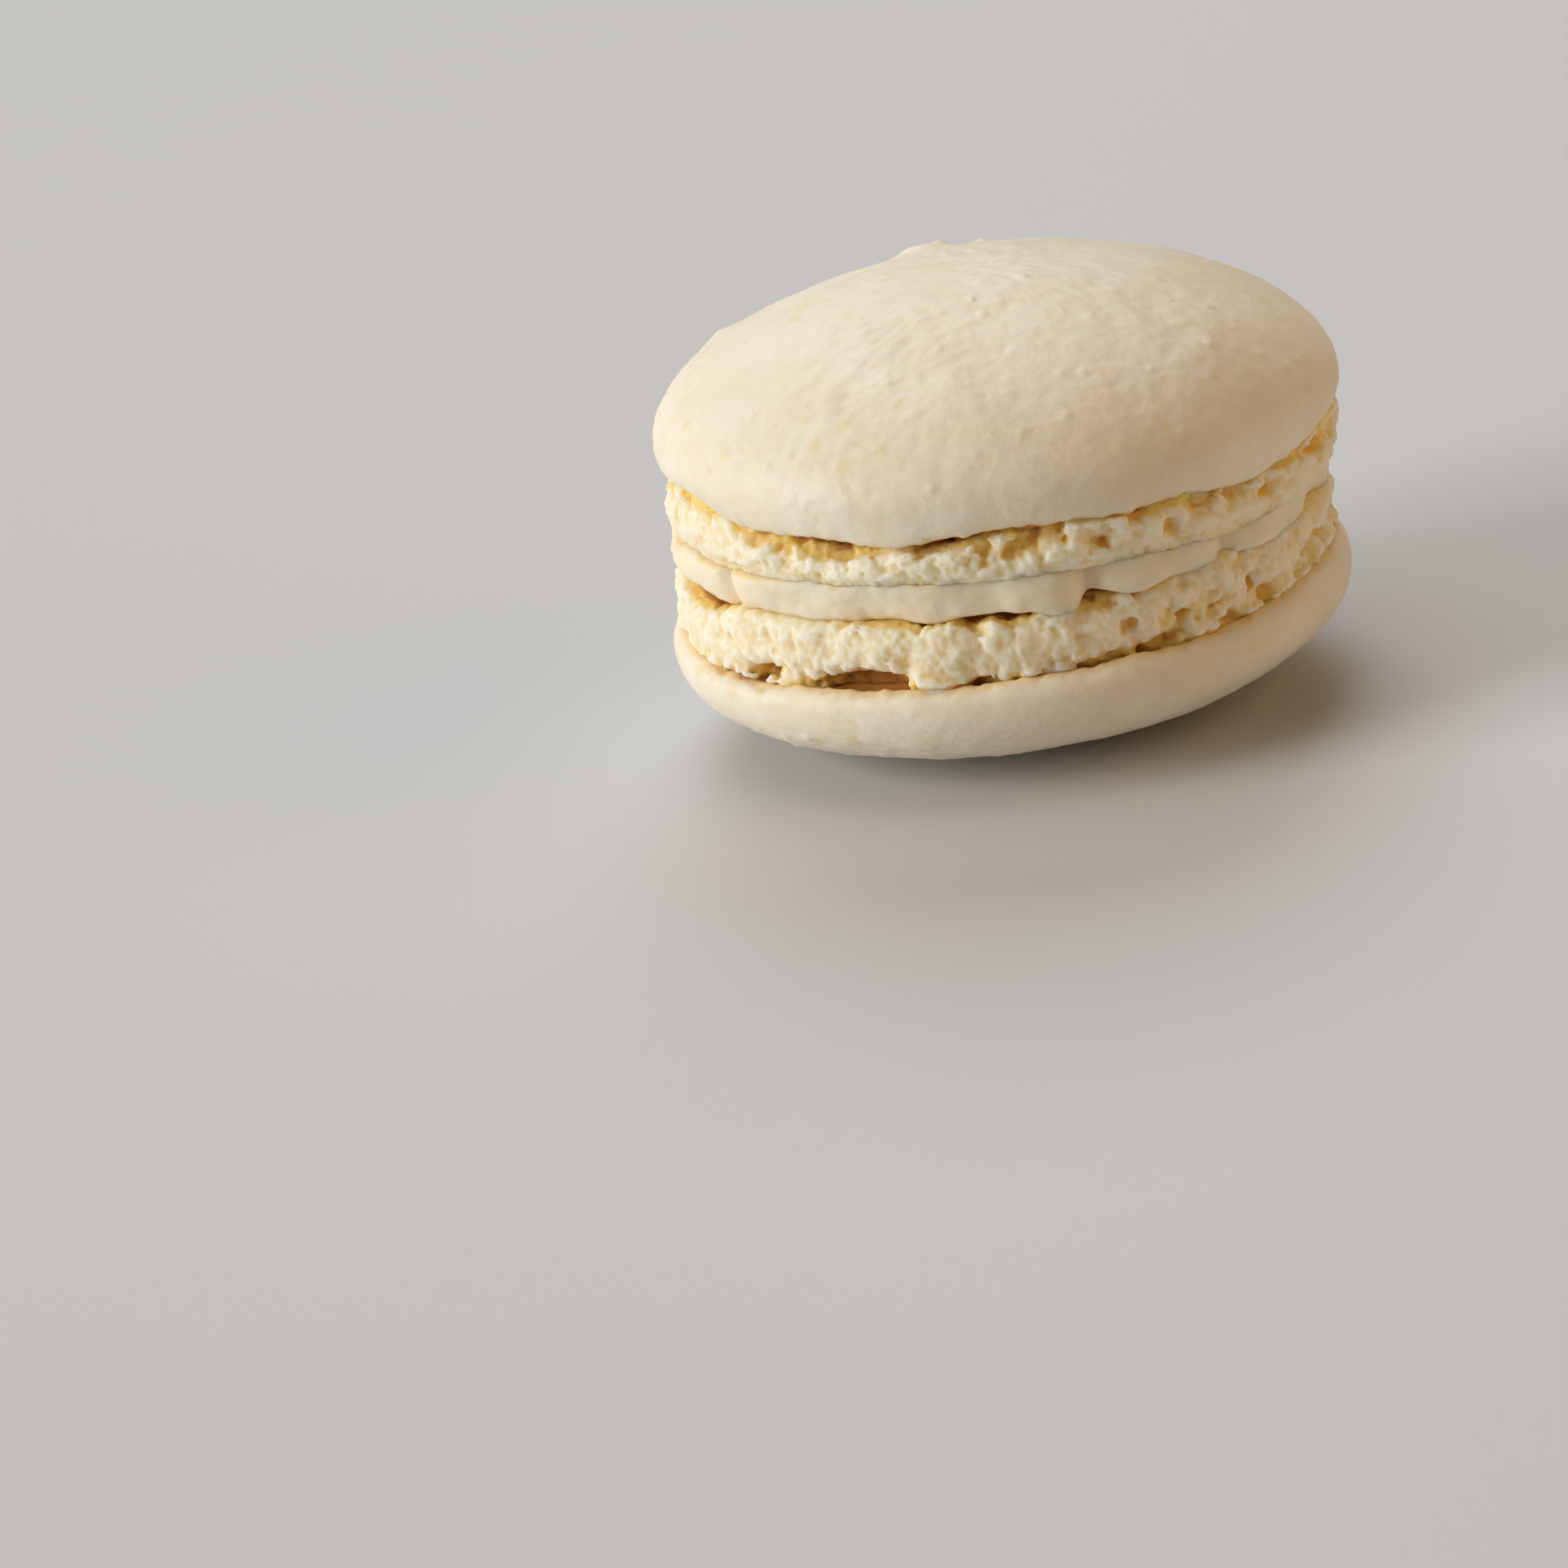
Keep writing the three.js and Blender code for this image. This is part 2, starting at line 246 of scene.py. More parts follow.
# %% [markdown]
# ## The skin
#
# A macaron's skin looks smooth, but it is never a perfect dome. It swells and dips slowly, ground
# almond stands up under it as soft lumps of a millimetre or two, and here and there a bubble
# popped and left a pinprick. All of that is real relief a tenth of a millimetre high, so it goes in
# the mesh: each vertex moves along its normal by a few octaves of noise, more so in one lumpy patch
# low on the upper shell's front left. The lip's edge is torn, and a bump could not do that, because
# it would leave the outline smooth. The nozzle left a low swell with small points on it behind the
# middle of the upper crown. A `lip` attribute marks the lip's lowest band and the skin's inside,
# which the finish paints with shade.

# %% Sizes of the skin's relief, in millimetres
# Each layer of lumps is (pitch, height).
SKIN_LUMPS = [(11, 0.22), (3.6, 0.07), (1.5, 0.055), (0.8, 0.045)]
PATCHES = {"pitch": 13, "middle": 0.75, "swing": 0.75, "least": 0.2}
LUMPY_PATCH = {"x": -5, "y": -16, "wide": 11, "more": 0.9}
GRAIN = {"pitch": 1.9, "radius": 0.75, "height": 0.13, "share": 0.45}
PINPRICK = {"pitch": 3.1, "radius": 0.3, "height": -0.12, "share": 0.25}
LIP_TEAR = [(4.6, 0.22), (1.3, 0.2), (0.6, 0.12)]
CELL_SHUFFLE = 57.3     # turns a cell's place into its own random draws
FLAT_FADE = 2           # the relief fades out over the flat spot's edge
HIDDEN_BELOW = 1        # what lies lower is inside the foot and stays as it is
TEAR_HEIGHT = 0.9
LIP_SHADE_HEIGHT = 0.35
TIPS = [  # x, y, how wide and how high
    (-3.6, 13.4, 1.9, 0.65), (-2.4, 13.9, 0.55, 0.3), (-4.9, 13.2, 0.6, 0.2),
    (0.6, 13.7, 0.7, 0.35), (-19.5, 10.0, 1.3, 0.4),
]
print("octaves of relief on the skin:", len(SKIN_LUMPS))


# %% Relief of the skin
def octaves(point, layers, seed):
    """A sum of noise layers, each (pitch, depth), at a point."""
    away = Vector((seed, -seed, seed / 2))
    return sum(depth * noise.noise(point / pitch + away) for pitch, depth in layers)


def scattered(point, spots, seed):
    """Height of round spots scattered at random, at a point: a share of the cells has one."""
    distances, places = noise.voronoi(point / spots["pitch"] + Vector((seed, seed, -seed)))
    chance, size, _ = noise.cell_vector(places[0] * CELL_SHUFFLE)
    if chance > spots["share"]:
        return 0
    radius = spots["radius"] * (0.5 + size / 2)
    return spots["height"] * smoothstep(radius - distances[0] * spots["pitch"], 0, radius)


def skin_relief(point, seed):
    """How far the skin stands out at a point; it is rougher in some patches than in others."""
    patch = noise.noise(point / PATCHES["pitch"] + Vector((seed, 0, 0)))
    patch = PATCHES["middle"] + PATCHES["swing"] * patch
    away = math.hypot(point.x - LUMPY_PATCH["x"], point.y - LUMPY_PATCH["y"])
    away /= LUMPY_PATCH["wide"]
    patch += LUMPY_PATCH["more"] * math.exp(-away * away)
    fine = octaves(point, SKIN_LUMPS[1:], seed) + scattered(point, GRAIN, seed)
    fine += scattered(point, PINPRICK, seed + 4)
    return octaves(point, SKIN_LUMPS[:1], seed) + max(patch, PATCHES["least"]) * fine


def tip_height(tips, x, y):
    """How far the points that the nozzle left lift the crown at a place."""
    return sum(
        peak * math.exp(-((x - a) ** 2 + (y - b) ** 2) / wide**2) for a, b, wide, peak in tips
    )


crown_top = Vector((0, 0, UPPER_SHELL["crown"]))
print("relief at the middle of the crown:", round(skin_relief(crown_top, 5.3), 3), "mm")


# %% Both skins
def make_skin(name, shell, place, tips, seed, steps=560):
    """A shell's skin, with its relief, its wavy torn rim and its `lip` attribute."""
    bm = spun(dome_section(shell), steps)
    lip = bm.verts.layers.float.new("lip")
    foot, widest, flat = shell["foot"], shell["widest"], shell["flat"]
    rim_height = foot + LIP_STEP
    for v in bm.verts:
        x, y, z = v.co
        radius = math.hypot(x, y)
        angle = math.degrees(math.atan2(y, x))
        above = z > widest
        shown = 1 if above else smoothstep(radius, LIP_ROOT, RIM_RADIUS)
        if above and flat:
            shown = smoothstep(radius, flat, flat + FLAT_FADE)
        moved = v.co + v.normal * skin_relief(v.co, seed) * shown
        if z > HIDDEN_BELOW:
            moved.z += (1 - smoothstep(z, foot, widest)) * rise(shell["rim"], angle)
            torn = 1 - smoothstep(z, rim_height, rim_height + TEAR_HEIGHT)
            # the lip's lowest band, which the finish paints with amber shade
            v[lip] = 1 - smoothstep(z, rim_height, rim_height + LIP_SHADE_HEIGHT)
            if radius < LIP_ROOT + 0.01 and not above:
                v[lip] = 2  # the skin's inside
            moved.z += torn * octaves(Vector((x, y, 0)), LIP_TEAR, seed + 9)
        if above:
            moved.z += tip_height(tips, x, y)
        v.co = moved
    return piece_from(bm, name, place)


skin_upper = make_skin("skin_upper", UPPER_SHELL, PLACE_UPPER, TIPS, 5.3)
skin_lower = make_skin("skin_lower", LOWER_SHELL, PLACE_LOWER, [], 2.7)

# %% [markdown]
# ## Writing node graphs as sums
#
# Both the crumb's shape and every finish are formulas, and nodes wired one by one are hard to read.
# Wrapping a socket in a small class lets them be written as formulas: `1 - mask * 0.5` adds its own
# Math nodes. Where a value is a vector, a Vector Math node is used. Any other node comes from one
# method: settings first, then sockets.

# %% The wire
class Wire:
    """A socket that takes part in Python arithmetic."""

    def __init__(self, graph, socket):
        self.graph = graph
        self.socket = socket

    def __add__(self, other):
        return self.graph.math("ADD", self, other)

    def __radd__(self, other):
        return self.graph.math("ADD", other, self)

    def __sub__(self, other):
        return self.graph.math("SUBTRACT", self, other)

    def __rsub__(self, other):
        return self.graph.math("SUBTRACT", other, self)

    def __mul__(self, other):
        return self.graph.math("MULTIPLY", self, other)

    def __rmul__(self, other):
        return self.graph.math("MULTIPLY", other, self)

    def __truediv__(self, other):
        return self.graph.math("DIVIDE", self, other)

    def output(self, name):
        """Another output of the same node."""
        return Wire(self.graph, self.socket.node.outputs[name])


# %% The graph
class Graph:
    """A node tree that is filled from Python expressions."""

    def __init__(self, tree):
        self.tree = tree
        tree.nodes.clear()

    def node(self, kind, settings=None, values=None, output=0):
        """Adds a node, sets it, then fills its sockets with numbers, colours or wires."""
        made = self.tree.nodes.new(kind)
        for name, setting in (settings or {}).items():
            setattr(made, name, setting)
        for name, value in (values or {}).items():
            if isinstance(value, Wire):
                self.tree.links.new(value.socket, made.inputs[name])
            else:
                made.inputs[name].default_value = value
        return Wire(self, made.outputs[output]) if made.outputs else made

    def math(self, operation, *values):
        """A Math node, or a Vector Math node where one of the values is a vector."""
        if not any(isinstance(v, Wire) and v.socket.type in ("VECTOR", "RGBA") for v in values):
            return self.node("ShaderNodeMath", {"operation": operation}, dict(enumerate(values)))
        filled = {i: (v,) * 3 if isinstance(v, (int, float)) else v for i, v in enumerate(values)}
        output = "Value" if operation == "LENGTH" else "Vector"
        return self.node("ShaderNodeVectorMath", {"operation": operation}, filled, output)

    def least(self, rounding, first, second):
        """The smaller of two values, joined with a rounded corner."""
        return self.math("SMOOTH_MIN", first, second, rounding)

    def split(self, vector):
        """The x, y and z of a vector."""
        x = self.node("ShaderNodeSeparateXYZ", {}, {0: vector})
        return x, x.output(1), x.output(2)

    def ramp(self, value, low, high, to_low=0.0, to_high=1.0):
        """A soft ramp from to_low to to_high as the value goes from low to high."""
        limits = {"Value": value, "From Min": low, "From Max": high}
        limits.update({"To Min": to_low, "To Max": to_high})
        return self.node("ShaderNodeMapRange", {"interpolation_type": "SMOOTHSTEP"}, limits)

    def lumps(self, point, pitch, detail=0.0, seed=0.0, output="Fac"):
        """Soft lumps from 0 to 1, one about every pitch, with finer ones added by detail."""
        moved = point / pitch + (seed, seed * 1.7, -seed)
        values = {"Vector": moved, "Scale": 1.0, "Detail": detail, "Roughness": 0.55}
        return self.node("ShaderNodeTexNoise", {}, values, output)

    def cells(self, point, pitch, seed=0.0):
        """Distance to the nearest of scattered points in units of pitch, and three draws for it."""
        moved = point / pitch + (seed, -seed, seed * 0.6)
        values = {"Vector": moved, "Scale": 1.0}
        distance = self.node("ShaderNodeTexVoronoi", {}, values, "Distance")
        return distance, *self.split(distance.output("Color"))


# %% [markdown]
# ## The foot
#
# The foot is foam. Pushing a surface in and out can't make foam, because a bubble that opens to
# the side is wider inside than at its mouth. So the foot is made as a field instead: a formula
# that says how far inside the crumb any point is. Curds add to it, and bubbles and torn caverns
# are taken out of it. Geometry Nodes' Volume Cube samples the formula on a fine grid and Volume to
# Mesh wraps a closed skin round everything that counts as crumb. The caverns that stand out are
# listed one by one, each (angle, height, width, height of its mouth, depth), and the rest of the
# ring is drawn by a small generator of its own, so that it comes out the same each time.

# %% Sizes of the crumb, in millimetres
# Lists of pairs are (pitch, height), and each layer of bubbles is (pitch, share, least, most).
VOXEL = 0.16
WALL = 1.0              # the field's value at the surface
FIELD_REACH, FIELD_BELOW, FIELD_ABOVE = 25.6, 1.2, 0.6  # the box that is sampled
FLATNESS = 0.02
FOOT_BELLY = 0.4
FOOT_CORE = 21.3
FOOT_INNER = 20.6
FOOT_TUCK = 0.75
CAVERN_ROUGHNESS = 0.8
SWELLS = (3.2, 1.0)
CURDS = [(1.5, 0.32), (0.75, 0.26)]
CURD_BEND = {"pitch": 1.6, "reach": 0.35}
CURD_ROUNDNESS = 0.33
CRUMB_GRAIN = [(0.75, 0.12), (0.42, 0.13), (0.27, 0.05)]
DIMPLES = {"pitch": 1.9, "from": 0.54, "to": 0.76, "depth": 0.5}
BUBBLES = [(2.4, 0.22, 0.22, 0.38), (1.2, 0.25, 0.14, 0.24)]
SPIKES = (0.14, 0.38)
# Painted amber shade on the crumb: how much deeper `pit` reads beside the cream, under the lip and
# in listed patches.
CREAM_SHADE = 0.55
LIP_SHADE = 1.1
LIP_SHADE_PATCH = {"pitch": 2.1, "from": -0.45, "to": 0.25}
LIP_SHADE_BAND = (0.9, 0.1)
CREAM_SHADE_BAND = (1.2, 0.1)
PAINTED_SHADE_BAND = (1.7, 0.5)
PAINTED_SHADE_DEPTH = (0.3, 1.2)
SHELF = {"facing": (0.5, 0.9), "band": (0.6, 0.2), "share": 0.5}
PROUD = {"from": 0.4, "back": 0.6}
NOOK_REACH = 32         # rounds of smoothing that tell a nook from a tip
SAMPLE_SMOOTHING = 4    # rounds that take the grid's steps out of the mesh
CAVERN_ROUNDING = 1.8
CAVERN_SHRINK = 0.22
CAVERN_SHAKE = {"pitch": 1.6, "reach": (1.7, 1.7, 1.0)}
BUBBLE_ROUNDING = 0.35
BUBBLE_OFFSET = 0.05
OVER_LIP = (1.6, -0.3)  # room past the skin's lip, well under its edge and just above it
OVER_LIP_LEVELS = (-0.4, 0.32)
LIP_ROUNDING = 0.3
LIP_RELIEF = 0.8
FILLET_HEIGHT = 0.45
FILLET_PATCHES = {"pitch": 2.2, "from": 0.35, "to": 0.65, "height": 2}
CALM_EDGE = 0.3
print("the crumb is sampled every", VOXEL, "mm")

# %% The upper foot
# `sag` and `hang` lower its underside, `smooth` is where its relief grows from the edge upwards,
# and each cavern is (angle, height, width, height of its mouth, depth).
UPPER_FOOT = {
    "base": 23.95,
    "shoulder": 0.25,
    "smooth": (0.1, 0.9),
    "fillet": 0.55,
    "sag": [(186, 7, -0.9), (215, 20, -0.36), (310, 12, -0.5)],
    "hang": -0.3,
    "painted_shade": [],
    "caverns": [
        (207, 2.9, 2.4, 0.8, 0.8), (222, 2.9, 3.2, 0.9, 1.1), (231, 3.0, 3.8, 1.2, 1.5),
        (238, 2.7, 3.6, 1.9, 1.6), (243, 3.2, 3.0, 0.7, 1.3), (249, 3.3, 4.2, 0.4, 0.9),
        (257, 3.45, 1.6, 1.3, 1.8), (268, 3.5, 4.0, 0.7, 1.0), (270, 1.9, 1.4, 1.0, 0.9),
        (265, 1.4, 1.6, 0.7, 0.7), (273, 2.6, 1.2, 1.0, 1.0), (277, 3.0, 1.6, 1.1, 1.1),
        (284, 1.9, 2.0, 1.7, 1.0), (292, 3.1, 3.4, 1.1, 1.0), (297, 1.4, 1.6, 1.6, 0.8),
        (303, 2.9, 2.9, 1.3, 1.1), (311, 2.9, 2.0, 1.2, 1.2), (319, 2.3, 2.3, 2.0, 1.2),
        (331, 2.7, 3.1, 1.0, 1.0), (341, 2.2, 4.6, 1.5, 1.4),
    ],
}
print("caverns placed by hand in the upper foot:", len(UPPER_FOOT["caverns"]))

# %% The lower foot
# A list of patches of painted dark shade lies on the crumb beside the cream, the largest under the
# cream's flap. The foot is upside down in the macaron, so its waves count their angles the other
# way round.
LOWER_FOOT = {
    "base": 23.6,
    "shoulder": 0.7,
    "smooth": (-0.9, 0.5),
    "fillet": 0.75,
    "sag": [(-312, 12, -0.75)],
    "hang": 0.0,
    "painted_shade": [(-199, 9, 1.4), (-269, 4, 1.0)],
    "caverns": [
        (197, 0.5, 8.5, 1.8, 3.0), (208, 0.2, 1.2, 0.5, 1.5), (209, 4.9, 1.3, 0.5, 0.9),
        (213, 5.1, 2.3, 0.6, 1.0), (219, 4.4, 1.2, 0.8, 1.1), (221, 3.8, 1.4, 0.8, 1.3),
        (224, 3.8, 1.8, 0.5, 1.0), (236, 4.7, 4.0, 1.4, 1.9), (244, 4.3, 4.4, 2.0, 2.0),
        (243, 4.9, 3.0, 1.1, 2.6), (247, 0.1, 3.0, 0.5, 1.1), (256, 0.4, 1.7, 0.6, 0.8),
        (263, 0.5, 1.6, 0.8, 1.6), (269, 0.35, 4.6, 1.1, 3.0), (283, 0.2, 1.8, 1.4, 1.2),
        (286, 0.9, 1.2, 0.7, 1.0), (292, 0.6, 2.2, 0.8, 1.5), (299, 2.9, 1.4, 0.6, 1.1),
        (294, 4.5, 3.7, 1.1, 1.7), (309, 4.5, 2.1, 0.9, 1.5), (315, 2.6, 1.6, 1.9, 1.4),
        (318, 4.2, 1.5, 1.1, 0.9), (270, 5.0, 2.6, 0.8, 1.1), (263, 4.8, 1.9, 0.8, 0.9),
        (284, 4.9, 3.2, 0.8, 0.9), (288, 2.3, 0.9, 0.8, 0.9), (307, 3.1, 2.2, 0.9, 0.7),
        (333, 3.4, 2.6, 1.3, 1.1), (339, 2.8, 2.4, 1.0, 1.0),
    ],
}
print("caverns placed by hand in the lower foot:", len(LOWER_FOOT["caverns"]))

# %% Caverns for the rest of a foot
GENERATOR = (16807, 2147483647)
OTHER_CAVERNS = {
    "count": 22, "angle": (352, 545), "level": (0.35, 1.0),
    "wide": (1.2, 4.4), "high": (0.6, 1.5), "deep": (0.9, 2.1),
}


def other_caverns(foot_height, seed):
    """Caverns for the rest of a foot, drawn by the minimal standard generator."""
    state = seed

    def between(span):
        nonlocal state
        multiplier, modulus = GENERATOR
        state = state * multiplier % modulus
        return span[0] + (span[1] - span[0]) * state / modulus

    first, last = OTHER_CAVERNS["angle"]
    step = (last - first) / OTHER_CAVERNS["count"]
    found = []
    for i in range(OTHER_CAVERNS["count"]):
        angle = first + step * (i + between((0, 1)))
        level = foot_height * between(OTHER_CAVERNS["level"])
        found.append((angle, level, *(between(OTHER_CAVERNS[k]) for k in ("wide", "high", "deep"))))
    return found


upper_caverns = UPPER_FOOT["caverns"] + other_caverns(UPPER_SHELL["foot"], 17)
lower_caverns = LOWER_FOOT["caverns"] + other_caverns(LOWER_SHELL["foot"], 41)
print("caverns in all:", len(upper_caverns) + len(lower_caverns))


# %% Waves and curds as wires
def wave_round(g, x, y, radius, waves):
    """The same waves as `rise` gives, as wires."""
    total = 0.0
    for angle, wide, height in waves:
        a = math.radians(angle)
        facing = (x * math.cos(a) + y * math.sin(a)) / radius
        total = g.math("EXPONENT", (facing - 1) * (2 / math.radians(wide) ** 2)) * height + total
    return total


def crumb_relief(g, spot, seed):
    """How far the crumb's surface stands out, in millimetres: swells, curds and dimples."""
    bend = g.lumps(spot, CURD_BEND["pitch"], 1.0, seed, "Color") - 0.5
    bent = spot + bend * CURD_BEND["reach"]
    pitch, height = SWELLS
    total = (g.lumps(spot, pitch, 1.0, seed + 2) - 0.5) * height
    for pitch, height in CURDS:
        distance, *_ = g.cells(bent, pitch, seed + pitch)
        total = total + (CURD_ROUNDNESS - distance * distance) * height
    dimple = g.lumps(spot, DIMPLES["pitch"], 1.0, seed + 11)
    dimple = g.ramp(dimple, DIMPLES["from"], DIMPLES["to"])
    return total - dimple * DIMPLES["depth"]


# %% [markdown]
# The field itself starts from the foot's plain outline: the belly, the rounded lower edge, and a
# fillet under the skin's lip. The curds and dimples are added to it, and it is held back behind the
# skin. Then each cavern is taken out as an ellipsoid whose place is shaken by noise, so that its
# walls are torn, and small round bubbles follow. The rounded minimum that joins them leaves no hard
# crease. The middle of the foot, which no one sees, is a plain ring that meets the skin's inside.

# %% The crumb as a field
def crumb_field(g, shell, foot, caverns, seed):
    """How many millimetres inside the crumb a point is."""
    x, y, z = g.split(g.node("GeometryNodeInputPosition"))
    radius = g.math("SQRT", x * x + y * y)
    level = z / (wave_round(g, x, y, radius, shell["rim"]) / shell["foot"] + 1)
    spot = g.node("ShaderNodeCombineXYZ", {}, {0: x, 1: y, 2: level})
    hang = wave_round(g, x, y, radius, foot["sag"]) + foot["hang"]
    from_edge = g.math("MAXIMUM", z - hang, 0.0)

    belly = g.math("SINE", level * (math.pi / shell["foot"])) * FOOT_BELLY
    round_edge = g.math("MAXIMUM", 1 - from_edge / foot["shoulder"], 0.0)
    fillet = g.math("EXPONENT", g.math("ABSOLUTE", level - shell["foot"]) * (-1 / FILLET_HEIGHT))
    patches = g.lumps(spot, FILLET_PATCHES["pitch"], 1.0, seed + 13)
    patches = g.ramp(patches, FILLET_PATCHES["from"], FILLET_PATCHES["to"])
    ragged = patches * FILLET_PATCHES["height"] * foot["fillet"]
    smooth_edge = g.ramp(from_edge, *foot["smooth"], CALM_EDGE, 1.0)
    relief = crumb_relief(g, spot, seed)
    shape = belly + fillet * ragged - round_edge * round_edge * foot["shoulder"]
    outer = shape + foot["base"] + relief * smooth_edge
    above_rim = g.math("MAXIMUM", level - shell["foot"] - LIP_STEP, 0.0)
    lip = 1 - above_rim / (shell["widest"] - shell["foot"] - LIP_STEP)
    skin_radius = g.math("SQRT", 1 - lip * lip) * (SHELL_RADIUS - RIM_RADIUS) + RIM_RADIUS
    over_lip = g.ramp(level, *(shell["foot"] + step for step in OVER_LIP_LEVELS), *OVER_LIP)
    outer = g.least(LIP_ROUNDING, outer, skin_radius + over_lip + relief * LIP_RELIEF)
    slab = g.math("MINIMUM", z - hang, shell["foot"] + FOOT_TUCK - level)
    inside = g.math("MINIMUM", outer - radius, slab)

    shake = g.lumps(spot, CAVERN_SHAKE["pitch"], 2.0, seed + 7, "Color") - 0.5
    shaken = spot + shake * CAVERN_SHAKE["reach"]
    rough = relief * CAVERN_ROUGHNESS
    for angle, height, wide, high, deep in caverns:
        about = {"Vector": shaken, "Angle": -math.radians(angle)}
        facing = g.node("ShaderNodeVectorRotate", {"rotation_type": "Z_AXIS"}, about, "Vector")
        ball = (facing - (foot["base"], 0, height)) / (deep, wide / 2, high / 2)
        hollow = (g.math("LENGTH", ball) - 1) * (high / 2) + rough + CAVERN_SHRINK
        inside = g.least(CAVERN_ROUNDING, inside, hollow)
    for pitch, share, least, most in BUBBLES:
        distance, chance, size, _ = g.cells(spot, pitch, seed + 3 * pitch)
        bubble = (size * (most - least) + least) * g.math("LESS_THAN", chance, share)
        inside = g.least(BUBBLE_ROUNDING, inside, distance * pitch - bubble + BUBBLE_OFFSET)
    core = g.math("MINIMUM", FOOT_CORE - radius, slab)
    return g.math("MINIMUM", g.math("MAXIMUM", inside, core), radius - FOOT_INNER)


# %% [markdown]
# The sampled mesh also holds sealed bubbles and loose scraps, which no one would see, so only its
# largest connected part is kept. Two depths are stored on it for the finish: `pit`, how far a
# vertex lies inside the foot's own outline, and `nook`, how far it lies under its neighbours,
# found by smoothing the mesh and looking which way each vertex moves. The finish paints shade and
# highlight by them. All but the thinnest spikes then go back where they were. `pit` grows a little
# beside the cream, in patches under the lip and in a few listed patches of the lower foot, so that
# those take the painted amber shade of a hollow.

# %% Parts and smoothing
def largest_part(bm):
    """Deletes all but the largest connected part of a bmesh."""
    unseen = set(bm.verts)
    parts = []
    while unseen:
        front = [unseen.pop()]
        part = list(front)
        while front:
            near = {e.other_vert(v) for v in front for e in v.link_edges} & unseen
            unseen -= near
            front = list(near)
            part += front
        parts.append(part)
    parts.sort(key=len)
    bmesh.ops.delete(bm, geom=[v for part in parts[:-1] for v in part], context="VERTS")
    return len(parts) - 1


def smooth(bm, times):
    """Moves each vertex half-way to the middle of its neighbours, a few times."""
    for _ in range(times):
        bmesh.ops.smooth_vert(
            bm, verts=bm.verts, factor=0.5, use_axis_x=True, use_axis_y=True, use_axis_z=True,
        )


# %% The depths
def store_depths(bm, shell, foot):
    """Stores `pit` and `nook`, and draws spikes and what stands too proud back in."""
    pit = bm.verts.layers.float.new("pit")
    nook = bm.verts.layers.float.new("nook")
    bm.normal_update()
    places = [v.co.copy() for v in bm.verts]
    normals = [v.normal.copy() for v in bm.verts]
    smooth(bm, NOOK_REACH)
    for v, place, normal in zip(bm.verts, places, normals):
        v[nook] = (v.co - place).dot(normal)
        angle = math.degrees(math.atan2(place.y, place.x))
        level = place.z / (rise(shell["rim"], angle) / shell["foot"] + 1)
        share = min(max(level / shell["foot"], 0), 1)
        outline = foot["base"] + FOOT_BELLY * math.sin(math.pi * share)
        inward = outline - math.hypot(place.x, place.y)
        on_shelf = smoothstep(-normal.z, *SHELF["facing"]) * smoothstep(place.z, *SHELF["band"])
        # Painted amber shade: `pit` reads deeper under the lip, beside the cream and in the listed
        # patches.
        patch = noise.noise(place / LIP_SHADE_PATCH["pitch"])
        patch = smoothstep(patch, LIP_SHADE_PATCH["from"], LIP_SHADE_PATCH["to"])
        under_lip = smoothstep(level, *(shell["foot"] - step for step in LIP_SHADE_BAND))
        painted_shade = rise(foot["painted_shade"], angle) * smoothstep(place.z, *PAINTED_SHADE_BAND)
        depth = inward * (1 - SHELF["share"] * on_shelf) + LIP_SHADE * patch * under_lip
        depth += CREAM_SHADE * smoothstep(place.z, *CREAM_SHADE_BAND)
        v[pit] = depth + painted_shade * smoothstep(inward, *PAINTED_SHADE_DEPTH)
        v.co = place.lerp(v.co, smoothstep(-v[nook], *SPIKES))
        v.co.xy *= 1 - PROUD["back"] * max(-inward - PROUD["from"], 0) / outline


# %% Both feet
def make_foot(name, shell, foot, place, caverns, seed):
    """Samples a foot's field, wraps it in a mesh and gives the mesh its grain and depths."""
    tree = bpy.data.node_groups.new(name, "GeometryNodeTree")
    tree.interface.new_socket("Geometry", in_out="OUTPUT", socket_type="NodeSocketGeometry")
    g = Graph(tree)
    highest = max(h for _, _, h in shell["rim"]) + shell["foot"] + FOOT_TUCK
    low = Vector((-FIELD_REACH, -FIELD_REACH, -FIELD_BELOW))
    high = Vector((FIELD_REACH, FIELD_REACH, highest + FIELD_ABOVE))
    density = crumb_field(g, shell, foot, caverns, seed) + WALL
    values = {"Density": density, "Min": low, "Max": high}
    values.update({f"Resolution {n}": round(c / VOXEL) for n, c in zip("XYZ", high - low)})
    volume = g.node("GeometryNodeVolumeCube", {}, values)
    wrapping = {"Volume": volume, "Threshold": WALL, "Adaptivity": FLATNESS}
    g.node("NodeGroupOutput", {}, {0: g.node("GeometryNodeVolumeToMesh", {}, wrapping)})

    holder = bpy.data.objects.new(name + "_field", bpy.data.meshes.new(name))
    bpy.context.scene.collection.objects.link(holder)
    holder.modifiers.new("crumb", "NODES").node_group = tree
    evaluated = holder.evaluated_get(bpy.context.evaluated_depsgraph_get())
    sampled = bpy.data.meshes.new_from_object(evaluated)
    bpy.data.objects.remove(holder)
    bm = bmesh.new()
    bm.from_mesh(sampled)
    print(f"{name}: {largest_part(bm)} scraps and sealed bubbles dropped")
    smooth(bm, SAMPLE_SMOOTHING)
    bm.normal_update()
    for v in bm.verts:
        v.co += v.normal * octaves(v.co, CRUMB_GRAIN, seed)
    store_depths(bm, shell, foot)
    return piece_from(bm, name, place)


turned_over = [(-angle, *size) for angle, *size in lower_caverns]
foot_upper = make_foot("foot_upper", UPPER_SHELL, UPPER_FOOT, PLACE_UPPER, upper_caverns, 5.3)
foot_lower = make_foot("foot_lower", LOWER_SHELL, LOWER_FOOT, PLACE_LOWER, turned_over, 2.7)
